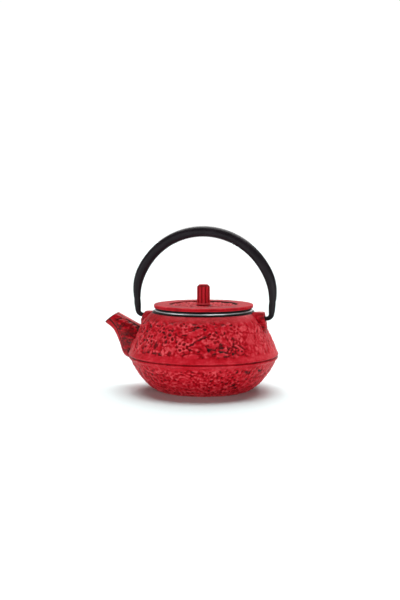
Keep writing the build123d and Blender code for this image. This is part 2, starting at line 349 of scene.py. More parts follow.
def steel(name, roughness, grain, shade=1.0):
    """Pressed or drawn stainless steel. Its fine marks are squeezed along Z by grain, so they run round."""
    n = Nodes(name)
    where = n.add("Mapping", {"Vector": n.place(), "Scale": (1.0, 1.0, grain)}).outputs["Vector"]
    marks = n.noise(90.0, 4.0, where)
    dull, bright = (tuple(shade * c for c in color) for color in ((0.58, 0.58, 0.59), (0.78, 0.78, 0.79)))
    n.set(
        Base_Color=n.ramp(marks, [(0.3, dull), (0.7, bright)]),
        Roughness=n.math("ADD", n.math("MULTIPLY", marks, 0.12), roughness),
    )
    n.shader.inputs["Metallic"].default_value = 1.0
    n.bump(marks, 0.00006, 0.5)
    return n.material


RED = red_enamel("red_cast_enamel", 0.34)
LID_RED = red_enamel("red_lid_enamel", 0.56)  # the lid and its knob are duller
BLACK = black_enamel()
COATING = black_coating()
STEEL = steel("pressed_stainless", 0.26, 25.0)
# wires shade each other, so the weave looks darker than sheet
WIRE = steel("stainless_wire", 0.24, 1.0, 0.55)


# ---- pot: the turned shell with its cast relief ----
# with these the whole pot stays under 200,000 triangles
COLUMNS = 540
CONE_STEP = 0.66
BOWL_STEP = 1.0
RIB_STEP = 0.5
TWIG_WIDTH = 0.9
TWIG_HEIGHT = 0.5


def shell_rows():
    """Profile rows of the pot's outside, with the numbers of the cone's first and last."""
    rows = [(0.0, 0.0), (24.0, 0.0), (BASE_R - 0.8, 0.0), (BASE_R, 0.1)]
    bottom = arc_via(rows[-1], BOTTOM_VIA, BOWL_MID, BOWL_STEP)
    rows += bottom
    rows += arc_along(BOWL_MID, end_tangent(bottom), BOWL_TOP, BOWL_STEP)
    rows += arc_via(BOWL_TOP, BEAD, GROOVE, RIB_STEP)
    rows += line(GROOVE, RIB_EDGE, RIB_STEP)
    rows += line(RIB_EDGE, CONE_BOTTOM, RIB_STEP)
    foot = len(rows) - 1
    cone = line(CONE_BOTTOM, CONE_TOP, CONE_STEP)
    rows += cone
    rows += arc_along(CONE_TOP, end_tangent(cone), SHOULDER_END, CONE_STEP)
    top = len(rows) - 1
    rows += [(LIP_R, SHOULDER_END[1]), (LIP_R, MOUTH_Z - 0.3), (LIP_R - 0.3, MOUTH_Z)]
    rows += [(MOUTH_R - 2.0, MOUTH_Z), (0.0, MOUTH_Z)]
    return np.array(rows), foot, top


def wrapped(angle):
    """The same angle from -pi to pi."""
    return (angle + math.pi) % (2.0 * math.pi) - math.pi


def from_front(p):
    """Angle of each place round Z, from the side that the camera faces."""
    return wrapped(np.arctan2(p[..., 1], p[..., 0]) - FRONT)


class Relief:
    """Cast decoration: height in mm over (angle from the front, distance up from the rib)."""

    def __init__(self, angle, up, radius, p):
        self.angle, self.up, self.radius, self.p = angle, up, radius, p
        self.height = np.zeros(angle.shape)
        self.dark = np.zeros(angle.shape)
        self.wobble = noise(p, 2.8, 71)
        self.rough = noise(p, 1.5, 72)
        self.broken = smooth(-0.2, 0.5, noise(p, 4.0, 73))

    def local(self, angle, up, turn=0.0):
        a = wrapped(self.angle - math.radians(angle)) * self.radius
        b = self.up - up
        c, s = math.cos(math.radians(turn)), math.sin(math.radians(turn))
        return a * c + b * s, -a * s + b * c

    def blossom(self, angle, up, size, turn, strength=1.0):
        """Five cupped petals round a small bud, no two quite alike."""
        a, b = self.local(angle, up, turn)
        a, b = a + 0.35 * self.wobble, b + 0.3 * self.rough
        rng = np.random.default_rng(int(100 * abs(angle) + 10 * up))
        rim, pit, near = np.zeros(a.shape), np.zeros(a.shape), np.full(a.shape, 9.0)
        for k in range(5):
            out = size * rng.uniform(0.50, 0.70)
            around = math.radians(72 * k + rng.uniform(-13, 13))
            d = np.hypot(a - out * math.cos(around), b - out * math.sin(around))
            d = d / (size * rng.uniform(0.82, 1.15))
            d = d + 0.10 * self.rough
            rim = np.maximum(rim, rng.uniform(0.4, 1.15) * np.exp(-(((d - 0.38) / 0.11) ** 2)))
            pit = np.maximum(pit, rng.uniform(0.35, 1.0) * fall(0.08, 0.36, d))
            near = np.minimum(near, d)
        bud = np.exp(-((np.hypot(a, b) / (0.16 * size)) ** 2))
        cover = fall(0.38, 0.52, near)
        keep = self.height * (1.0 - 0.7 * cover)
        self.height = keep + strength * (0.75 * rim * (1.0 - pit) - 0.65 * pit + 0.3 * bud * cover)
        self.dark = np.maximum(self.dark * (1.0 - cover), 0.5 * pit * strength)

    def hollow(self, angle, up, long, wide, turn, depth=0.6):
        a, b = self.local(angle, up, turn)
        d = np.hypot(a / long, b / wide) + 0.30 * self.wobble + 0.22 * self.rough
        pit = fall(0.25, 1.05, d)
        self.height = self.height * (1.0 - 0.7 * pit) - depth * pit
        self.dark = np.maximum(self.dark, 0.66 * pit * min(1.0, 1.5 * depth))

    def plate(self, angle, up, long, wide, turn, height=0.4):
        """Smooth raised patch, undercut here and there along its edge."""
        a, b = self.local(angle, up, turn)
        d = np.hypot(a / long, b / wide) + 0.34 * self.wobble + 0.18 * self.rough
        body = fall(0.62, 1.05, d)
        edge = np.exp(-(((d - 1.15) / 0.14) ** 2)) * self.broken
        self.height = self.height * (1.0 - 0.7 * body) + height * body - 0.34 * edge
        self.dark = np.maximum(self.dark * (1.0 - body), 0.35 * edge)

    def branch(self, points):
        """Raised twig with a deep line under it."""
        width, height = TWIG_WIDTH, TWIG_HEIGHT
        for (a0, u0), (a1, u1) in zip(points[:-1], points[1:]):
            start = wrapped(self.angle - math.radians(a0)) * self.radius
            run = math.radians(a1 - a0) * self.radius
            rise = u1 - u0
            along = np.clip((start * run + (self.up - u0) * rise) / (run**2 + rise**2), 0.0, 1.0)
            da, db = start - along * run, self.up - u0 - along * rise
            side = np.sign(run * db - rise * da) * np.hypot(da, db) + 1.4 * self.wobble + 0.5 * self.rough
            ridge = np.exp(-(((side - 0.9 * width) / width) ** 2))
            ridge = ridge * (0.35 + 0.65 * smooth(-0.3, 0.3, self.rough))
            line_cut = np.exp(-(((side + 1.0 * width) / (1.05 * width)) ** 2)) * (0.25 + 0.75 * self.broken)
            self.height = self.height * (1.0 - 0.6 * np.maximum(ridge, line_cut))
            self.height += height * ridge - 0.6 * line_cut
            self.dark = np.maximum(self.dark, 0.7 * line_cut)


def rough_ground(angle, p, seed, slant=0.35, size=1.0):
    """Broken, slightly slanting cast texture without a motif: height in mm and how deep the crevices are."""
    tilted = p.copy()
    tilted[..., 2] = 1.45 * p[..., 2] + slant * BOWL_TOP[0] * np.sin(angle)
    q = warped(tilted, 6.0 * size, 2.2 * size, seed)
    slab = noise(q, 5.2 * size, seed + 5)
    height = 0.24 * smooth(-0.16, 0.08, slab) + 0.22 * smooth(0.10, 0.34, slab)
    lines = np.abs(noise(warped(tilted, 3.0 * size, 1.3 * size, seed + 10), 4.6 * size, seed + 15))
    crevice = fall(0.03, 0.20, lines) * smooth(-0.25, 0.35, noise(p, 7.0 * size, seed + 20))
    height += 0.42 * noise(warped(tilted, 2.4, 0.9, seed + 25), 2.3 * size, seed + 30) - 0.48 * crevice
    return height + 0.14 * noise(p, 1.4, seed + 35), crevice


def upright(p, squeeze):
    """The same places with their heights squeezed, so that noise over them makes upright strokes."""
    q = p.copy()
    q[..., 2] *= squeeze
    return q


def cone_relief(angle, up, radius, p):
    """Height and darkness of the decoration between the rib and the mouth."""
    relief = Relief(angle, up, radius, p)
    degrees = np.degrees(angle)
    soft_side = smooth(24.0, 44.0, degrees) * fall(74.0, 90.0, degrees)
    height, crevice = rough_ground(angle, p, 300)
    stretched = upright(p, 0.32)
    strokes = 1.5 * noise(warped(stretched, 3.0, 0.9, 81), 2.5, 82)
    relief.height = height * (1.0 - 0.60 * soft_side) + 0.30 * strokes * soft_side
    relief.dark = 0.55 * crevice * (1.0 - 0.75 * soft_side)

    # patches, hollows, twigs and blossoms on the front, placed one by one
    for spec in FRONT_PLATES:
        relief.plate(*spec)
    for points in FRONT_TWIGS:
        relief.branch(points)
    for spec in FRONT_HOLLOWS:
        relief.hollow(*spec)
    for spec in FRONT_BLOSSOMS:
        relief.blossom(*spec)

    # the same kinds of feature scattered over the rest of the pot
    rng = np.random.default_rng(7)
    for sector in range(15):
        centre = 88.0 + sector * 13.0
        for _ in range(2):
            place = centre + rng.uniform(-6, 6), rng.uniform(8, 33)
            relief.plate(*place, rng.uniform(3, 6), rng.uniform(2.2, 3.6), rng.uniform(-40, 40))
        start, rise = rng.uniform(8, 26), rng.uniform(2, 6)
        relief.branch([(centre - 6, start), (centre + 1, start + rise), (centre + 7, start + 1.4 * rise)])
        for _ in range(6):
            size = rng.uniform(0.9, 2.0)
            place = centre + rng.uniform(-7, 7), rng.uniform(6, 35)
            relief.hollow(*place, size, 0.75 * size, rng.uniform(0, 180), rng.uniform(0.3, 0.7))
        place = centre + rng.uniform(-5, 5), rng.uniform(14, 32)
        relief.blossom(*place, rng.uniform(5.2, 6.4), rng.uniform(0, 72), rng.uniform(0.6, 1.0))

    edge = 1.2 * noise(p, 6.0, 91)
    band = smooth(3.0, 6.0, up + edge) * fall(35.0, 39.5, up + edge)
    return relief.height * (0.12 + 0.88 * band), relief.dark * band


# angle from the front in degrees, mm up the cone, half length, half width, turn, height
FRONT_PLATES = [
    (-7, 28, 7.5, 3.4, 22, 0.45), (-41, 24, 5.2, 3, 35), (-27, 11, 5.5, 4, -10),
    (-31, 33, 6.5, 2.6, -5), (-52, 11, 5, 5, 20, 0.3), (-49, 25, 4.6, 3, 10), (18, 31, 3.6, 4.4, 0),
    (29, 24, 3.8, 2.6, 0), (42, 20, 6.6, 5.4, 0, 0.3), (8, 17, 5.4, 2.6, -15), (14, 7.5, 6, 2.4, 0),
    (-9, 6, 8, 2.4, 5, 0.3), (-68, 24, 4.4, 3, 10), (-66, 33, 4.2, 2.4, 0), (38, 31, 5.4, 3, 10, 0.3),
    (58, 28, 4, 3.6, 0, 0.25), (70, 20, 4.2, 5, 0, 0.3), (30, 10, 4.6, 3.4, 20, 0.3),
]
FRONT_TWIGS = [
    [(-19, 14), (-9, 18.5), (-2, 23), (5, 27.5)],
    [(-16, 31), (-9, 34), (0, 34.5)],
    [(20, 23.5), (22, 18), (28, 13)],
    [(52.5, 24.5), (57, 32)],
]
# angle, mm up the cone, half length, half width, turn, depth
FRONT_HOLLOWS = [
    (4, 12, 2, 2, 0), (-4, 10.5, 2.6, 1.3, 10), (-8, 34, 1.8, 1.2, 0, 0.5), (1, 31.5, 2, 1.8, 20, 0.5),
    (-27, 7.5, 2.6, 3.2, 0, 0.55), (-42, 14, 3.6, 5, 0, 0.62), (-17, 25.5, 4, 1.3, 12, 0.45),
    (11, 28, 1.8, 1.6, 0), (18.5, 28, 1.4, 1.9, 0), (15, 14, 2.4, 1.7, 0), (31, 21.5, 1.6, 1.4, 0, 0.5),
    (28, 18, 1.6, 1.3, 30, 0.5), (31, 9.5, 1.6, 1.2, 0, 0.5), (16, 5.6, 2, 1.2, 0),
    (34, 33, 2, 1.1, -10, 0.45), (26, 35, 2, 1.1, 0, 0.45), (-11, 12.5, 2, 1.4, 20, 0.5),
    (-47, 33, 3.4, 1.1, -8, 0.6), (-60, 26, 1.8, 1.3, 0, 0.6), (36, 15, 3, 1.3, 5, 0.35),
    (23, 8, 1.7, 1.6, 0, 0.5), (47, 14, 1.2, 3, 0, 0.3), (60, 16, 1.1, 3.2, 0, 0.3),
    (41, 27, 1.6, 1.2, 0, 0.4), (-62, 13, 2.2, 1.6, 30, 0.55), (-35, 5.6, 3.2, 1, 0, 0.5),
    (8, 22.5, 1.6, 1.1, 0, 0.5), (-53, 12, 1.8, 1.4, 20), (-66, 18, 1.6, 2.6, 0), (-56, 31, 2, 1.3, 30),
    (-37, 27.5, 1.8, 1.2, 0), (-48, 7, 2.6, 1.3, 0),
]
# angle, mm up the cone, size, turn, strength
FRONT_BLOSSOMS = [
    (-30.5, 21.5, 6.2, 10), (-18.3, 14.6, 6, 40), (-51, 19.5, 5.8, 55), (-18.5, 33.3, 5, 20, 0.7),
    (-41.5, 30.5, 5.2, 0, 0.7), (10, 22, 5.4, 30, 0.6), (29, 30, 5.2, 15, 0.45),
    (-70, 27, 5.4, 25, 0.8), (62, 22, 5.4, 40, 0.35),
]


def bowl_relief(angle, p):
    """Fine pebbled skin under the rib, with short dark dashes."""
    tilted = p.copy()
    tilted[..., 2] = 1.3 * p[..., 2] + 0.25 * BOWL_TOP[0] * np.sin(angle)
    pebbles = noise(warped(tilted, 2.4, 0.8, 101), 2.0, 111)
    lines = np.abs(noise(warped(tilted, 3.0, 1.0, 104), 3.0, 114))
    patch = smooth(-0.45, 0.35, noise(p, 9.0, 121))
    dash = fall(0.02, 0.20, lines) * smooth(-0.3, 0.2, noise(p, 2.6, 124)) * (0.35 + 0.65 * patch)
    height = 0.50 * pebbles - 0.36 * dash + 0.20 * noise(p, 1.3, 131)
    return height, 0.95 * dash + 0.22 * smooth(0.0, 0.8, -pebbles)


FINE_REACH, BROAD_REACH = 2, 8  # in grid steps


def toned(height, dark, p, lift):
    """Paint tone for a relief: high spots lighter from wear and a painted highlight, hollows dark."""
    fine = height - ring_blur(height, FINE_REACH)
    broad = height - ring_blur(height, BROAD_REACH)
    drift = 0.07 * noise(p, 15.0, 411) + 0.08 * noise(p, 6.0, 412)
    # wear and painted highlight: raised spots are made lighter and pinker
    wear_and_sheen = 0.45 * np.clip(fine, -0.25, 0.5) + 0.35 * np.clip(broad, -0.30, 0.6)
    return np.clip(0.54 + wear_and_sheen - 0.36 * dark + drift + lift, 0.0, 1.0)


def shell():
    """Points and tone of the pot's outside, as grids of rows by COLUMNS."""
    rows, foot, top = shell_rows()
    rest = revolved(rows, COLUMNS)
    angle = from_front(rest)
    length = np.concatenate(([0.0], np.cumsum(np.linalg.norm(np.diff(rows, axis=0), axis=1))))
    up = np.repeat((length - length[foot])[:, None], COLUMNS, axis=1)
    radius = np.repeat(rows[:, :1], COLUMNS, axis=1)
    height = np.zeros(angle.shape)
    dark = np.zeros(angle.shape)
    lift = np.zeros(angle.shape)
    cone = slice(foot, top + 1)
    relief, shade = cone_relief(angle[cone], up[cone], radius[cone], rest[cone])
    grain = 0.07 * noise(rest[cone], 1.6, 141) + 0.07 * noise(rest[cone], 3.5, 142)
    ends = smooth(0.0, 0.9, up[cone]) * fall(up[top, 0] - 1.5, up[top, 0] - 0.3, up[cone])
    height[cone] = (relief + grain) * ends
    dark[cone] = shade
    degrees = np.degrees(angle[cone])
    # painted light and shade: the cone's right side lighter, its left side darker, a painted highlight in the
    # band just above the rib; the band under the mouth is darker
    lift[cone] = 0.13 * smooth(24.0, 44.0, degrees) * fall(80.0, 100.0, degrees)
    lift[cone] -= 0.07 * fall(-62.0, -40.0, degrees) * smooth(-110.0, -90.0, degrees)
    lift[cone] -= 0.06 * smooth(30.0, 37.0, up[cone])
    lift[cone] += 0.05 * fall(2.0, 5.0, up[cone])
    # painted shade: a darker patch low on the cone, a little right of the front
    deep = np.exp(-(((degrees - 12.0) / 20.0) ** 2) - ((up[cone] - 9.0) / 6.0) ** 2)
    lift[cone] -= 0.08 * deep
    # bowl, from the edge of the base to the bead
    bead = np.argmin(np.hypot(rows[:, 0] - BOWL_TOP[0], rows[:, 1] - BOWL_TOP[1]))
    bowl = slice(3, bead + 1)
    relief, shade = bowl_relief(angle[bowl], rest[bowl])
    depth_down = (length[bead] - length)[bowl][:, None]
    fade = smooth(0.6, 4.5, depth_down) * smooth(0.0, 1.5, (length - length[3])[bowl][:, None])
    height[bowl] = relief * (0.25 + 0.75 * fade) * smooth(0.0, 0.8, depth_down)
    dark[bowl] = shade * fade
    # painted light: the bowl lighter towards the base
    lift[bowl] = 0.03 + 0.13 * fall(2.0, 14.0, (length - length[3])[bowl][:, None])
    # the rib's edge and the groove under it were finished by hand, so they wander a little
    rib = slice(bead + 1, foot)
    height[rib] = 0.14 * noise(rest[rib], 4.0, 151) + 0.08 * noise(rest[rib], 1.6, 152)
    # painted highlight: the rib a little lighter
    lift[rib] = 0.08
    # painted shade in the groove under the rib's overhanging edge
    groove = np.exp(-(((rows[:, 1] - GROOVE[1]) / 0.75) ** 2))[:, None]
    dark = np.maximum(dark, 1.1 * groove * (rows[:, :1] > 68.0))
    points = revolved(rows, COLUMNS, height)
    return points, toned(height, dark, rest, lift)


def ring_blur(field, reach):
    """Mean over a window of 2 x reach + 1 rows and columns."""
    out = np.zeros(field.shape)
    padded = np.pad(field, ((reach, reach), (0, 0)), mode="edge")
    for i in range(2 * reach + 1):
        out += padded[i : i + field.shape[0]]
    out /= 2 * reach + 1
    total = sum(np.roll(out, shift, axis=1) for shift in range(-reach, reach + 1))
    return total / (2 * reach + 1)


# ---- spout and lugs ----
def spline(values, t):
    """Smooth curve through values at t = 0, 1, 2, ..."""
    values = np.array(values, float)
    if values.ndim == 1:
        values = values[:, None]
    padded = np.vstack((2 * values[0] - values[1], values, 2 * values[-1] - values[-2]))
    i = np.clip(np.floor(t).astype(int), 0, len(values) - 2)
    f = (t - i)[:, None]
    a, b, c, d = padded[i], padded[i + 1], padded[i + 2], padded[i + 3]
    return 0.5 * (2 * b + (c - a) * f + (2 * a - 5 * b + 4 * c - d) * f**2 + (3 * b - a - 3 * c + d) * f**3)


def spout_rings(t, turn, inset):
    """Rings of the spout at section places t. Returns points, outward directions and half lengths."""
    top = spline([s[0] for s in SPOUT_SECTIONS], t)
    bottom = spline([s[1] for s in SPOUT_SECTIONS], t)
    width = spline([s[2] for s in SPOUT_SECTIONS], t)[:, 0]
    half = np.linalg.norm(top - bottom, axis=1) / 2.0
    along = (top - bottom) / (2.0 * half[:, None])
    centre = (top + bottom) / 2.0
    c, s = np.cos(turn), np.sin(turn)
    a, b = half - inset, width / 2.0 - inset
    local_a, local_b = a[:, None] * c, b[:, None] * s
    points = np.stack(
        (centre[:, :1] + along[:, :1] * local_a, local_b, centre[:, 1:] + along[:, 1:] * local_a), axis=-1
    )
    out_a, out_b = c / a[:, None], s / b[:, None]
    size = np.hypot(out_a, out_b)
    outward = np.stack((along[:, :1] * out_a / size, out_b / size, along[:, 1:] * out_a / size), axis=-1)
    return points, outward, half


KEEL = [2.5, 4.6, 6.2, 6.4, 7.6]  # height of the smooth band along the spout's underside


def spout_turns():
    """Angles round the spout from its top, closer together at the keel's crease."""
    even = np.linspace(0.0, math.pi, 60)
    extra = np.linspace(math.radians(85), math.radians(142), 34)
    half = np.unique(np.round(np.concatenate((even, extra)), 5))
    return np.concatenate((half, 2.0 * math.pi - half[-2:0:-1]))


def spout():
    """The spout's outside as a closed piece, its root inside the shell."""
    t = np.concatenate((np.linspace(0.0, 3.9, 66), (3.96, 3.99, 4.0)))
    turn = spout_turns()
    points, outward, half = spout_rings(t, turn, 0.0)
    keel = spline(KEEL, t)[:, 0]
    from_bottom = half[:, None] * (1.0 + np.cos(turn))
    side = smooth(0.25, 0.6, np.abs(np.sin(turn)))
    wander = 0.45 * noise(points, 5.0, 161)
    crease = np.exp(-(((from_bottom - keel[:, None] + wander) / 0.75) ** 2)) * side
    crease *= smooth(0.9, 1.3, t)[:, None] * (1.0 - smooth(3.85, 4.0, t)[:, None] * 0.6)
    notch = np.exp(-(((t[:, None] - 1.95 - 0.02 * (from_bottom - 3.0)) / 0.045) ** 2)) * side
    notch = notch * fall(-0.6, 0.2, from_bottom - keel[:, None]) * smooth(1.0, 2.2, from_bottom)
    face = smooth(0.6, 2.0, from_bottom - keel[:, None]) * fall(0.90, 0.97, np.cos(turn))
    face = face * fall(3.3, 3.9, t)[:, None]
    rough, crevice = rough_ground(np.zeros(crease.shape), points, 500, 0.0, 0.8)
    top_line = np.exp(-(((np.abs(wrapped(turn)) - math.radians(24)) / math.radians(6)) ** 2))
    top_line = top_line * smooth(0.6, 1.2, t)[:, None]
    height = (0.75 * rough - 0.2) * face - 0.55 * crease - 0.30 * notch - 0.22 * top_line
    height = (height + 0.06 * noise(points, 1.6, 201)) * fall(3.93, 4.0, t)[:, None]
    stain = face * smooth(0.15, 0.5, noise(points, 6.0, 202) + 0.6 - 0.35 * np.abs(t[:, None] - 2.1))
    mouth_edge = smooth(3.86, 3.95, t)[:, None] * np.ones(crease.shape)
    dark = np.maximum.reduce(
        [0.95 * crease, 0.7 * notch, 0.75 * top_line, 0.6 * crevice * face, 0.38 * stain, 0.8 * mouth_edge]
    )
    low = fall(0.5, 2.6, t)
    tone = toned(height.T, dark.T, points.transpose(1, 0, 2), -0.05 - 0.07 * low[None, :]).T
    ends = 1.0 - smooth(0.0, 0.06, 4.0 - t)[:, None]
    points = points + outward * (height - 0.35 * ends**2)[..., None]
    vertices, faces = capped_grid(points[:, ::-1])
    obj = make("spout", vertices, faces, RED)
    set_attribute(obj, "tone", np.concatenate((tone[:, ::-1].ravel(), (0.5, 0.0))))
    return obj


def spout_channel():
    """The spout's inside, run on past its mouth, to cut it out with."""
    t = np.linspace(0.0, 4.0, 24)
    turn = np.linspace(0.0, 2.0 * math.pi, 64, endpoint=False)
    points, _, _ = spout_rings(t, turn, SPOUT_WALL)
    beyond = points[-1] + (points[-1] - points[-2]).mean(axis=0) * 1.2
    vertices, faces = capped_grid(np.vstack((points, beyond[None]))[:, ::-1])
    return make("channel", vertices, faces, BLACK)


FRONT_LUG_TOP = (59.3, 73.9)  # the lug over the spout is the smaller one
REAR_LUG_TOP = (60.0, 76.0)
LUG_FOOT = (62.8, 55.2)
LUG_FACE_MID = (61.1, 70.0)
LUG_STEP_X = 50.4
LUG_BACK_X = 46.2
LUG_BACK_Z = 73.8
LUG_HALF_WIDTH = 4.2
PIN_HOLE_R = 2.4
PIN_HOLE_X = (54.6, 64.0)
CAVITY_COLUMNS = 128
LUG_FILLET = 5.0  # where the casting flows from the cone into the lug's side


def lug(top, sign):
    """A lug as rings along Y, its corners rounded, its skin uneven and its sides flowing into the cone."""
    top_x, top_z = top
    face = [LUG_FOOT] + arc_via(LUG_FOOT, LUG_FACE_MID, (top_x, top_z - 0.9), 0.7)
    loop = face + arc((top_x - 0.9, top_z - 0.9), (top_x, top_z - 0.9), (top_x - 0.9, top_z), 0.45, 1.0)
    loop += line((top_x - 0.9, top_z), (LUG_STEP_X, top_z), 0.8)
    loop += line((LUG_STEP_X, top_z), (LUG_BACK_X, LUG_BACK_Z), 0.8)
    loop += line((LUG_BACK_X, LUG_BACK_Z), (LUG_BACK_X, LUG_FOOT[1]), 1.6)
    loop += line((LUG_BACK_X, LUG_FOOT[1]), LUG_FOOT, 1.6)[:-1]
    loop = np.array(loop)
    middle = np.array((LUG_BACK_X + 2.0, 66.0))
    away = loop - middle
    away /= np.linalg.norm(away, axis=1, keepdims=True)
    profile, foot, end = shell_rows()
    cone_r = np.interp(loop[:, 1], profile[foot : end + 1, 1], profile[foot : end + 1, 0])
    flare = LUG_HALF_WIDTH + LUG_FILLET * np.array((0.03, 0.08, 0.15, 0.25, 0.37, 0.5, 0.65, 0.8, 0.92, 1.0))
    core = LUG_HALF_WIDTH * np.concatenate((np.linspace(-0.8, 0.8, 13), (0.92, 0.975, 1.0)))
    rings = []
    for y in np.concatenate((-flare[::-1], -LUG_HALF_WIDTH * np.array((1.0, 0.975, 0.92)), core, flare)):
        edge = np.clip((abs(y) / LUG_HALF_WIDTH - 0.78) / 0.22, 0.0, 1.0)
        ring = loop - away * (1.0 - math.sqrt(1.0 - edge**2))
        beyond = max(0.0, abs(y) - LUG_HALF_WIDTH)
        if beyond > 0.0:
            rise = LUG_FILLET - math.sqrt(LUG_FILLET**2 - (LUG_FILLET - beyond) ** 2)
            skin = np.sqrt(np.maximum(cone_r**2 - y**2, 0.0)) - 0.4 * beyond / LUG_FILLET
            ring[:, 0] = np.minimum(ring[:, 0], skin + rise)
            over = np.maximum(ring[:, 1] - LUG_BACK_Z + 0.4, 0.0)
            ring[:, 1] -= over * smooth(0.0, 1.0, beyond / LUG_FILLET)
        rings.append(np.column_stack((ring[:, 0] * sign, np.full(len(ring), y), ring[:, 1])))
    points = np.array(rings)
    ground, crevice = rough_ground(np.zeros(points.shape[:2]), points, 700, 0.0, 0.8)
    bumps = 0.7 * (ground - 0.25)
    outwards = points - np.array((sign * middle[0], 0.0, middle[1]))
    points = points + outwards / np.linalg.norm(outwards, axis=-1, keepdims=True) * bumps[..., None]
    vertices, faces = capped_grid(points if sign > 0 else points[:, ::-1])
    obj = make("lug", vertices, faces, RED)
    tone = np.clip(0.52 + 0.45 * bumps - 0.2 * crevice + 0.06 * noise(points, 5.0, 222), 0.0, 1.0)
    tone = tone if sign > 0 else tone[:, ::-1]
    set_attribute(obj, "tone", np.concatenate((tone.ravel(), (0.5, 0.5))))
    return obj


def cylinder(name, start, end, radius, columns, material):
    """A plain closed cutter between two points."""
    axis = Vector(end) - Vector(start)
    quaternion = axis.to_track_quat("Z", "Y")
    turn = even_turns(columns)
    rings = []
    for place in (Vector(start), Vector(end)):
        circle = [Vector((radius * math.cos(a), radius * math.sin(a), 0.0)) for a in turn]
        rings.append([list(place + quaternion @ spot) for spot in circle])
    vertices, faces = capped_grid(np.array(rings))
    return make(name, vertices, faces, material)


def cavity_cutter():
    """The pot's inside, run on above its mouth."""
    inner = [(0.01, 3.6), (24.0, 3.6), (41.0, 3.6)]
    inner += arc_via(inner[-1], (50.4, 9.4), (56.6, 15.6), 2.2)
    inner += arc_along((56.6, 15.6), end_tangent(inner), (67.2, 32.4), 2.4)
    inner += line(inner[-1], (67.8, 35.0), 2.6)
    cone = line((67.8, 35.0), (56.9, 59.6), 2.8)
    inner += cone
    inner += arc_along((56.9, 59.6), end_tangent(cone), (MOUTH_R, 71.6), 2.2)
    inner += [(MOUTH_R, MOUTH_Z - 0.5), (MOUTH_R + 0.12, MOUTH_Z - 0.12), (MOUTH_R + 0.5, MOUTH_Z)]
    inner += [(MOUTH_R + 0.5, MOUTH_Z + 3.0), (0.01, MOUTH_Z + 3.0)]
    vertices, faces = capped_grid(revolved(inner, CAVITY_COLUMNS))
    return make("cavity", vertices, faces, BLACK)


def build_pot():
    points, tone = shell()
    vertices, faces = capped_grid(points[1:-1])
    body = make("pot_casting", vertices, faces, RED)
    set_attribute(body, "tone", np.concatenate((tone[1:-1].ravel(), (0.5, 0.5))))
    boolean(body, "UNION", [spout(), lug(REAR_LUG_TOP, 1.0), lug(FRONT_LUG_TOP, -1.0)])
    holes = [
        cylinder("hole", *((sign * x, 0.0, PIVOT_Z) for x in PIN_HOLE_X), PIN_HOLE_R, 32, BLACK)
        for sign in (1.0, -1.0)
    ]
    boolean(body, "DIFFERENCE", [cavity_cutter(), spout_channel(), *holes])
    # the lip round the mouth is left black too
    black = list(body.data.materials).index(BLACK)
    for polygon in body.data.polygons:
        c = polygon.center / MM
        if c.z > SHOULDER_END[1] - 0.02 and math.hypot(c.x, c.y) < LIP_R + 0.25:
            polygon.material_index = black
    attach(body, "pot")
    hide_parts("pot_body")


build_pot()

# ---- lid ----
LID_R = 47.6
LID_TOP_Z = 82.2
SEAT_Z = 77.4
RECESS_R = 32.0
RECESS_Z = 80.6
LID_CENTRE_Z = 80.8
KNOB_PAD_R = 7.2
LID_COLUMNS = 420


def lid_rows():
    """Underside from the spigot hole outwards, then over the edge and back to the knob."""
    rows = [(2.0, LID_CENTRE_Z - 0.2), (2.0, 78.6), (12.0, 78.6), (26.0, 78.6), (39.4, 78.6), (40.0, 78.2)]
    rows += [(40.2, 75.0), (40.4, 72.3), (40.7, 72.0), (42.6, 72.0), (43.0, 72.4), (43.0, 75.0), (43.0, 77.0)]
    rows += [(43.3, SEAT_Z), (45.6, SEAT_Z)]
    rows += line((45.8, SEAT_Z + 0.1), (LID_R - 0.15, SEAT_Z + 1.75), 0.6)
    black_end = len(rows)
    rows += [(LID_R, SEAT_Z + 2.0)]
    rows += line((LID_R, SEAT_Z + 2.0), (LID_R, LID_TOP_Z - 0.7), 0.55)
    rows += arc((LID_R - 0.7, LID_TOP_Z - 0.7), (LID_R, LID_TOP_Z - 0.7), (LID_R - 0.7, LID_TOP_Z), 0.3, 1.0)
    rows += line((LID_R - 0.7, LID_TOP_Z), (RECESS_R + 1.0, LID_TOP_Z), 0.8)
    step = len(rows)
    rows += line((RECESS_R + 1.0, LID_TOP_Z), (RECESS_R, RECESS_Z), 0.4)
    rows += line((RECESS_R, RECESS_Z), (KNOB_PAD_R, LID_CENTRE_Z), 0.62)
    rows += [(6.4, LID_CENTRE_Z), (4.0, LID_CENTRE_Z - 0.1)]
    return np.array(rows), black_end, step


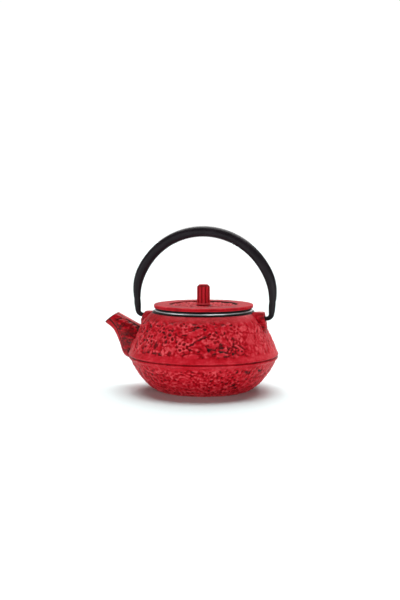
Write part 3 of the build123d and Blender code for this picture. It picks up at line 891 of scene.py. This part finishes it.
def build_lid():
    rows, black_end, step = lid_rows()
    rest = revolved(rows, LID_COLUMNS)
    angle = from_front(rest)
    radius = np.hypot(rest[..., 0], rest[..., 1])
    height = np.zeros(radius.shape)
    dark = np.zeros(radius.shape)
    inner = slice(step + 3, len(rows) - 3)
    relief = Relief(angle[inner], radius[inner], radius[inner], rest[inner])
    ground, crevice = rough_ground(np.zeros(angle[inner].shape), rest[inner], 600, 0.0, 0.8)
    relief.height = 1.4 * ground
    relief.dark = 0.8 * crevice
    for k, (turn, out, size) in enumerate(LID_BLOSSOMS):
        relief.blossom(turn, out, size, 17 * k, 0.8)
    for turn, out in LID_PLATES:
        relief.plate(turn, out, 3.8, 2.0, 10, 0.3)
    fade = smooth(8.5, 10.5, radius[inner]) * fall(29.5, 31.0, radius[inner])
    height[inner] = relief.height * fade
    dark[inner] = relief.dark * fade
    height[black_end:] += (0.08 * noise(rest, 1.8, 271) + 0.08 * noise(rest, 5.0, 281))[black_end:]
    # painted shade on the step wall round the recess, stronger on the far side, and round the knob's foot
    wall = np.exp(-(((rows[:, 0] - RECESS_R - 0.4) / 0.8) ** 2)) * (rows[:, 1] > 80.0)
    pad = np.exp(-(((rows[:, 0] - KNOB_PAD_R) / 0.5) ** 2)) * (rows[:, 1] > 80.0)
    shaded = smooth(80.0, 110.0, np.degrees(angle)) * fall(160.0, 178.0, np.degrees(angle))
    dark = np.maximum(dark, np.maximum(wall[:, None] * (0.45 + 0.6 * shaded), 0.8 * pad[:, None]))
    # painted highlights along the lid's top edge and the ring's inner edge, each with a darker band beside
    # it; the outer side is lighter as well
    above = rows[:, 1] - LID_TOP_Z
    edge = rows[:, 0] > LID_R - 0.5
    side = edge * (np.exp(-(((above + 0.3) / 0.5) ** 2)) - np.exp(-(((above + 1.7) / 0.6) ** 2)))
    beyond = rows[:, 0] - RECESS_R
    ring = np.exp(-(((beyond - 2.6) / 0.8) ** 2)) - np.exp(-(((beyond - 4.6) / 0.9) ** 2))
    points = revolved(rows, LID_COLUMNS, height)
    faces = grid_faces(len(rows), LID_COLUMNS)
    last = (len(rows) - 1) * LID_COLUMNS
    for j in range(LID_COLUMNS):  # the spigot's hole closes the ring of rows on itself
        k = (j + 1) % LID_COLUMNS
        faces.append((last + j, last + k, k, j))
    lid = make("lid_casting", points.reshape(-1, 3).tolist(), faces, LID_RED, BLACK)
    index = np.zeros(len(faces), int)
    index[: (black_end - 1) * LID_COLUMNS] = 1
    lid.data.polygons.foreach_set("material_index", index)
    lift = -0.135 + (0.14 * side + 0.11 * edge + 0.07 * ring)[:, None]
    set_attribute(lid, "tone", toned(height, dark, rest, lift).ravel())
    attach(lid, "lid")
    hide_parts("lid_plate")


# angle from the front in degrees, mm from the middle, size
LID_BLOSSOMS = [
    (62, 20, 5.2), (98, 24, 4.6), (30, 25, 4.4), (-48, 20, 5.0), (-80, 25, 4.6),
    (140, 19, 5.2), (-125, 22, 5.0), (178, 25, 4.6), (-10, 17, 4.2),
]
LID_PLATES = [(-20, 25), (-62, 15), (80, 14), (120, 26), (-100, 16), (160, 14), (45, 15), (-150, 27), (8, 27)]

build_lid()

# ---- knob ----
KNOB_R = 6.35
KNOB_TOP_Z = 101.0
KNOB_LOBES = 10
KNOB_COLUMNS = 320


def build_knob():
    turn = even_turns(KNOB_COLUMNS)
    ripple = np.abs(np.cos((turn + math.pi / 2.0) * KNOB_LOBES / 2.0))
    groove = smooth(0.62, 1.0, ripple)  # 1 in the middle of a flute
    flute = 0.8 * ripple**5
    # (radius, z, depth of the flutes): rivet and spigot, foot on the pad, fluted shaft, bevelled top
    rows = [(0.01, 76.2, 0), (2.2, 76.2, 0), (2.5, 76.35, 0), (3.2, 77.5, 0), (3.2, 77.6, 0), (2.0, 77.65, 0)]
    rows += [(2.0, 80.0, 0), (2.0, LID_CENTRE_Z - 0.02, 0), (4.5, LID_CENTRE_Z, 0), (6.55, LID_CENTRE_Z, 0)]
    rows += [(6.65, LID_CENTRE_Z + 0.15, 0), (6.6, LID_CENTRE_Z + 1.2, 0), (6.5, LID_CENTRE_Z + 2.4, 0)]
    rows += [(6.4, LID_CENTRE_Z + 2.8, 0.3), (KNOB_R, LID_CENTRE_Z + 3.3, 1)]
    shaft_end = KNOB_TOP_Z - 2.2
    rows += [(KNOB_R, z, 1) for z in np.linspace(LID_CENTRE_Z + 3.9, shaft_end - 0.35, 22)]
    rows += [(KNOB_R - 0.10, shaft_end, 1), (KNOB_R - 0.35, shaft_end + 0.35, 1)]
    rows += [(KNOB_R - 0.35 - s, shaft_end + 0.35 + s, 1 - 0.30 * s) for s in (0.45, 0.9, 1.35)]
    rows += [(KNOB_R - 2.05, KNOB_TOP_Z - 0.12, 0.45), (KNOB_R - 2.35, KNOB_TOP_Z, 0.35)]
    rows += [(2.0, KNOB_TOP_Z, 0.0), (0.4, KNOB_TOP_Z, 0.0)]
    rows = np.array(rows)
    rest = revolved(rows[:, :2], KNOB_COLUMNS)
    grain = 0.05 * noise(rest, 1.5, 291) + 0.05 * noise(rest, 3.0, 301)
    shrink = rows[:, 2:] * flute - grain * (rows[:, 2:] > 0)
    radius = np.hypot(rest[..., 0], rest[..., 1])
    scale = np.where(radius > 1.0, (radius - shrink) / np.maximum(radius, 1e-6), 1.0)
    points = rest * np.stack((scale, scale, np.ones(scale.shape)), axis=-1)
    vertices, faces = capped_grid(points)
    knob = make("knob_casting", vertices, faces, LID_RED)
    z = rows[:, 1:2]
    # painted shade in the flute valleys, at the flutes' lower ends, where the knob meets the lid, and on the
    # spigot and rivet below the lid; the top bevel is darker too
    top_dark = smooth(shaft_end - 0.3, shaft_end + 0.5, z) * fall(KNOB_TOP_Z - 0.3, KNOB_TOP_Z, z)
    above = z - LID_CENTRE_Z
    foot_dark = groove * np.exp(-(((above - 3.4) / 0.8) ** 2)) + (above < 0.3)
    foot_light = smooth(0.3, 0.8, above) * fall(2.4, 3.0, above)
    below = z < LID_CENTRE_Z - 0.01
    dark = np.maximum(rows[:, 2:] * groove * 0.75, np.minimum(foot_dark, 1.0))
    dark = np.maximum(dark, np.maximum(0.75 * top_dark, 0.9 * below))
    tone = np.clip(0.60 - 0.42 * dark + 0.6 * grain + 0.14 * foot_light, 0.0, 1.0)
    set_attribute(knob, "tone", np.concatenate((tone.ravel(), (0.1, 0.6))))
    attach(knob, "lid")
    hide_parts("lid_knob")


build_knob()


# ---- infuser basket: woven wire ----
WIRE_R = 0.15
MESH_R = 43.7
MESH_Z = (35.2, 70.0)
FLOOR_PITCH = 1.3
FLOOR_R = 43.4


def wires(paths):
    """Closed tubes round (path, closed) pairs. A closed path repeats no point; an open one gets end caps."""
    sides = 3
    vertices, faces = [], []
    for path, closed in paths:
        count = len(path)
        ahead = np.roll(path, -1, axis=0) if closed else np.vstack((path[1:], 2 * path[-1] - path[-2]))
        behind = np.roll(path, 1, axis=0) if closed else np.vstack((2 * path[0] - path[1], path[:-1]))
        tangent = ahead - behind
        tangent /= np.linalg.norm(tangent, axis=1, keepdims=True)
        across = np.cross(tangent, (0.31, 0.17, 0.93) if abs(tangent[0, 2]) < 0.5 else (1.0, 0.2, 0.1))
        across /= np.linalg.norm(across, axis=1, keepdims=True)
        up = np.cross(tangent, across)
        start = len(vertices)
        turns = even_turns(sides)
        c, s = np.cos(turns)[None, :, None], np.sin(turns)[None, :, None]
        ring = path[:, None] + WIRE_R * (across[:, None] * c + up[:, None] * s)
        vertices += ring.reshape(-1, 3).tolist()
        faces += grid_faces(count, sides, start)
        if closed:
            last = start + (count - 1) * sides
            for j in range(sides):
                k = (j + 1) % sides
                faces.append((last + j, last + k, start + k, start + j))
        else:
            faces.append(tuple(start + j for j in reversed(range(sides))))
            faces.append(tuple(start + (count - 1) * sides + j for j in range(sides)))
    return vertices, faces


def build_basket():
    """The mesh wall and the mesh floor, each wire passing over and under its neighbours."""
    uprights, rings = 216, 28
    pitch = 2.0 * math.pi / uprights
    z = np.linspace(*MESH_Z, rings + 2)[1:-1]
    paths = []
    for i in range(uprights):
        a = i * pitch
        between = np.append((z[1:] + z[:-1]) / 2, MESH_Z[1])
        knots = np.concatenate(([MESH_Z[0]], np.stack((z, between), axis=1).ravel()))
        sides = np.stack(((-1.0) ** (np.arange(rings) + i), np.zeros(rings)), axis=1)
        swing = np.concatenate(([0.0], sides.ravel()))
        r = MESH_R + WIRE_R * swing
        paths.append((np.column_stack((r * math.cos(a), r * math.sin(a), knots)), False))
    knot = np.arange(2 * uprights)
    around = knot * pitch / 2.0
    for j in range(rings):
        swing = np.where(knot % 2 == 0, (-1.0) ** (knot // 2 + j + 1), 0.0)
        r = MESH_R + WIRE_R * swing
        ring = np.column_stack((r * np.cos(around), r * np.sin(around), np.full(len(around), z[j])))
        paths.append((ring, True))
    vertices, faces = wires(paths)
    wall = make("mesh_wall_wires", vertices, faces, WIRE)
    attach(wall, "infuser")
    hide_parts("infuser_mesh_wall")

    places = np.arange(-33, 34) * FLOOR_PITCH
    paths = []
    for axis in (0, 1):
        for i, across in enumerate(places):
            end = math.sqrt(max(0.0, FLOOR_R**2 - across**2))
            crossings = places[np.abs(places) < end]
            if len(crossings) < 2:
                continue
            swing = (-1.0) ** (np.round(crossings / FLOOR_PITCH) + i + axis)
            middle = (crossings[1:] + crossings[:-1]) / 2.0
            run = np.concatenate((crossings, middle))
            lift = np.concatenate((swing, np.zeros(len(middle))))
            order = np.argsort(run)
            run, lift = run[order], lift[order]
            other = np.full(len(run), across)
            columns = (run, other) if axis == 0 else (other, run)
            paths.append((np.column_stack((*columns, MESH_Z[0] + WIRE_R * lift)), False))
    vertices, faces = wires(paths)
    floor = make("mesh_floor_wires", vertices, faces, WIRE)
    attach(floor, "infuser")
    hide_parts("infuser_mesh_floor")


build_basket()

# ---- CAD pieces that keep their shape ----
for name, material in {
    "infuser_rim": STEEL,
    "infuser_base_ring": STEEL,
    "knob_washer": STEEL,
    "handle_grip": COATING,
    "handle_hook_front": COATING,
    "handle_hook_rear": COATING,
}.items():
    node = nodes[name]
    node.data.materials.clear()
    node.data.materials.append(material)


# ---- floor, light and camera ----
FLOOR_REACH = 4.0
LIGHT_TARGET = (0.0, 0.0, 0.05)
KEY_POWER, FILL_POWER = 6.8, 4.7
CAMERA_LENS = 59.4
CAMERA_PLACE = (0.2770, -0.9061, 0.1733)
CAMERA_AIM = (-0.0032, -0.0010, 0.0859)
HORIZON_BAND = 0.205  # sine of its height
SKY = 0.03
SOFTBOX_AXIS = (-0.11, 0.55, 1.0)
SOFTBOX_EDGE = 0.85  # cosine of its half angle
SOFTBOX_LIGHT = 6.5


def stage_floor():
    n = Nodes("studio_floor")
    n.set(Base_Color=(0.65, 0.73, 0.73, 1.0), Roughness=0.6)
    n.shader.inputs["Specular IOR Level"].default_value = 0.2
    mesh = bpy.data.meshes.new("studio_floor")
    corners = [(x * FLOOR_REACH, y * FLOOR_REACH, 0) for x, y in ((-1, -1), (1, -1), (1, 1), (-1, 1))]
    mesh.from_pydata(corners, [], [(0, 1, 2, 3)])
    mesh.materials.append(n.material)
    floor = placed("studio_floor", mesh)


def aim(obj, place, target):
    obj.location = place
    obj.rotation_euler = (Vector(target) - Vector(place)).to_track_quat("-Z", "Y").to_euler()


def area_light(name, place, size, power):
    """A rectangular light aimed at LIGHT_TARGET."""
    light = bpy.data.lights.new(name, "AREA")
    light.shape = "RECTANGLE"
    light.size, light.size_y = size
    light.energy = power
    aim(placed(name, light), place, LIGHT_TARGET)


def add_world():
    """A big round softbox overhead and a little behind, a white band round the horizon, little in between."""
    world = bpy.data.worlds.new("studio")
    world.use_nodes = True
    tree = world.node_tree
    direction = tree.nodes.new("ShaderNodeTexCoord").outputs["Generated"]

    def step(axis, low, high, start, end):
        along = tree.nodes.new("ShaderNodeVectorMath")
        along.operation = "DOT_PRODUCT"
        along.inputs[1].default_value = axis
        tree.links.new(direction, along.inputs[0])
        node = tree.nodes.new("ShaderNodeMapRange")
        node.interpolation_type = "SMOOTHSTEP"
        for key, value in zip(("From Min", "From Max", "To Min", "To Max"), (low, high, start, end)):
            node.inputs[key].default_value = value
        tree.links.new(along.outputs["Value"], node.inputs["Value"])
        return node.outputs[0]

    total = tree.nodes.new("ShaderNodeMath")
    band = step((0.0, 0.0, 1.0), HORIZON_BAND, HORIZON_BAND + 0.04, 1.02, SKY)
    tree.links.new(band, total.inputs[0])
    axis = Vector(SOFTBOX_AXIS).normalized()
    softbox = step(axis, SOFTBOX_EDGE - 0.03, SOFTBOX_EDGE + 0.03, 0.0, SOFTBOX_LIGHT)
    tree.links.new(softbox, total.inputs[1])
    tree.links.new(total.outputs[0], tree.nodes["Background"].inputs["Strength"])
    tree.nodes["Background"].inputs["Color"].default_value = (1.0, 1.0, 1.0, 1.0)
    bpy.context.scene.world = world


stage_floor()
add_world()
area_light("key", (0.85, -0.95, 0.12), (0.9, 0.22), KEY_POWER)
area_light("fill", (-0.85, -0.85, 0.12), (0.8, 0.22), FILL_POWER)

camera = bpy.data.cameras.new("camera")
camera.lens = CAMERA_LENS
camera.sensor_width = 36.0
camera_object = placed("camera", camera)
aim(camera_object, CAMERA_PLACE, CAMERA_AIM)
bpy.context.scene.camera = camera_object
bpy.context.scene.view_settings.view_transform = "Standard"
